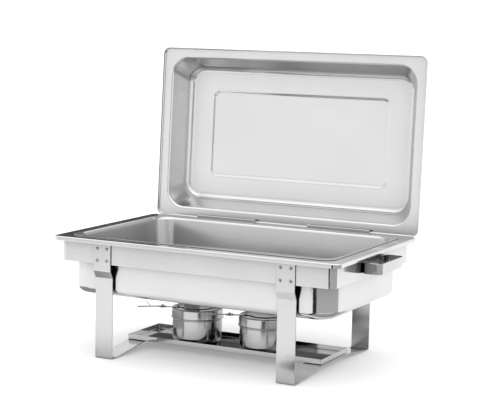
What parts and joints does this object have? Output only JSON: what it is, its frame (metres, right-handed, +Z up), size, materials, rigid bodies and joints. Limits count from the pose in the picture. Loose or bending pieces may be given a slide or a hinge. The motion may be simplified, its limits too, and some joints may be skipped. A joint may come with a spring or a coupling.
{
  "type": "chafing dish food warmer",
  "caption": "Rectangular stainless chafing dish: food pan in a water pan on a strap-leg frame, fuel burners on a shelf, lid held open at the back.",
  "frame": {"origin": "on the floor under the middle of the whole object, as it stands with its lid open", "axes": "+X along the long side to the right, +Y towards the open lid at the back, +Z up"},
  "size_m": [0.624, 0.4796, 0.5624],
  "materials": {
    "brushed_sheet": "bright stainless sheet, fine brushed grain",
    "satin_sheet": "satin stainless sheet",
    "mirror_sheet": "mirror-bright stainless sheet with fine scratches",
    "rivet": "plain metal, slightly dull"
  },
  "bodies": {
    "frame": {"frame_band": "brushed_sheet", "leg_strap_left": "brushed_sheet", "leg_strap_right": "brushed_sheet", "side_handle_left": "satin_sheet", "side_handle_right": "satin_sheet", "lid_bracket_left": "satin_sheet", "lid_bracket_right": "satin_sheet", "burner_shelf": "mirror_sheet", "leg_rivet_left_front_1": "rivet", "leg_rivet_left_front_2": "rivet", "leg_rivet_left_front_3": "rivet", "leg_rivet_left_front_4": "rivet", "leg_rivet_left_rear_1": "rivet", "leg_rivet_left_rear_2": "rivet", "leg_rivet_left_rear_3": "rivet", "leg_rivet_left_rear_4": "rivet", "leg_rivet_right_front_1": "rivet", "leg_rivet_right_front_2": "rivet", "leg_rivet_right_front_3": "rivet", "leg_rivet_right_front_4": "rivet", "leg_rivet_right_rear_1": "rivet", "leg_rivet_right_rear_2": "rivet", "leg_rivet_right_rear_3": "rivet", "leg_rivet_right_rear_4": "rivet", "handle_rivet_left_1": "rivet", "handle_rivet_left_2": "rivet", "handle_rivet_left_3": "rivet", "handle_rivet_left_4": "rivet", "handle_rivet_right_1": "rivet", "handle_rivet_right_2": "rivet", "handle_rivet_right_3": "rivet", "handle_rivet_right_4": "rivet"},
    "water_pan": {"water_pan": "brushed_sheet"},
    "food_pan": {"food_pan": "satin_sheet"},
    "lid": {"lid_shell": "brushed_sheet", "lid_handle": "satin_sheet"},
    "burner_left": {"burner_can_left": "satin_sheet", "burner_cap_left": "satin_sheet", "regulator_pivot_left": "rivet"},
    "burner_right": {"burner_can_right": "satin_sheet", "burner_cap_right": "satin_sheet", "regulator_pivot_right": "rivet"},
    "regulator_left": {"regulator_plate_left": "brushed_sheet", "regulator_grip_left": "satin_sheet", "grip_rivet_left": "rivet"},
    "regulator_right": {"regulator_plate_right": "brushed_sheet", "regulator_grip_right": "satin_sheet", "grip_rivet_right": "rivet"}
  },
  "joints": [
    {"name": "lid_lift", "type": "slide", "parent": "frame", "child": "lid", "axis": [0, 0.061, 0.9981], "range_m": [0, 0.06]},
    {"name": "water_pan_lift", "type": "slide", "parent": "frame", "child": "water_pan", "axis": [0, 0, 1], "range_m": [0, 0.12]},
    {"name": "food_pan_lift", "type": "slide", "parent": "water_pan", "child": "food_pan", "axis": [0, 0, 1], "range_m": [0, 0.08]},
    {"name": "burner_left_lift", "type": "slide", "parent": "frame", "child": "burner_left", "axis": [0, 0, 1], "range_m": [0, 0.018]},
    {"name": "burner_right_lift", "type": "slide", "parent": "frame", "child": "burner_right", "axis": [0, 0, 1], "range_m": [0, 0.018]},
    {"name": "regulator_left_swivel", "type": "hinge", "parent": "burner_left", "child": "regulator_left", "pos_m": [-0.11016, -0.07762, 0.0814], "axis": [0, 0, 1], "range_deg": [0, 60]},
    {"name": "regulator_right_swivel", "type": "hinge", "parent": "burner_right", "child": "regulator_right", "pos_m": [0.03284, -0.07762, 0.0814], "axis": [0, 0, 1], "range_deg": [0, 60]}
  ]
}
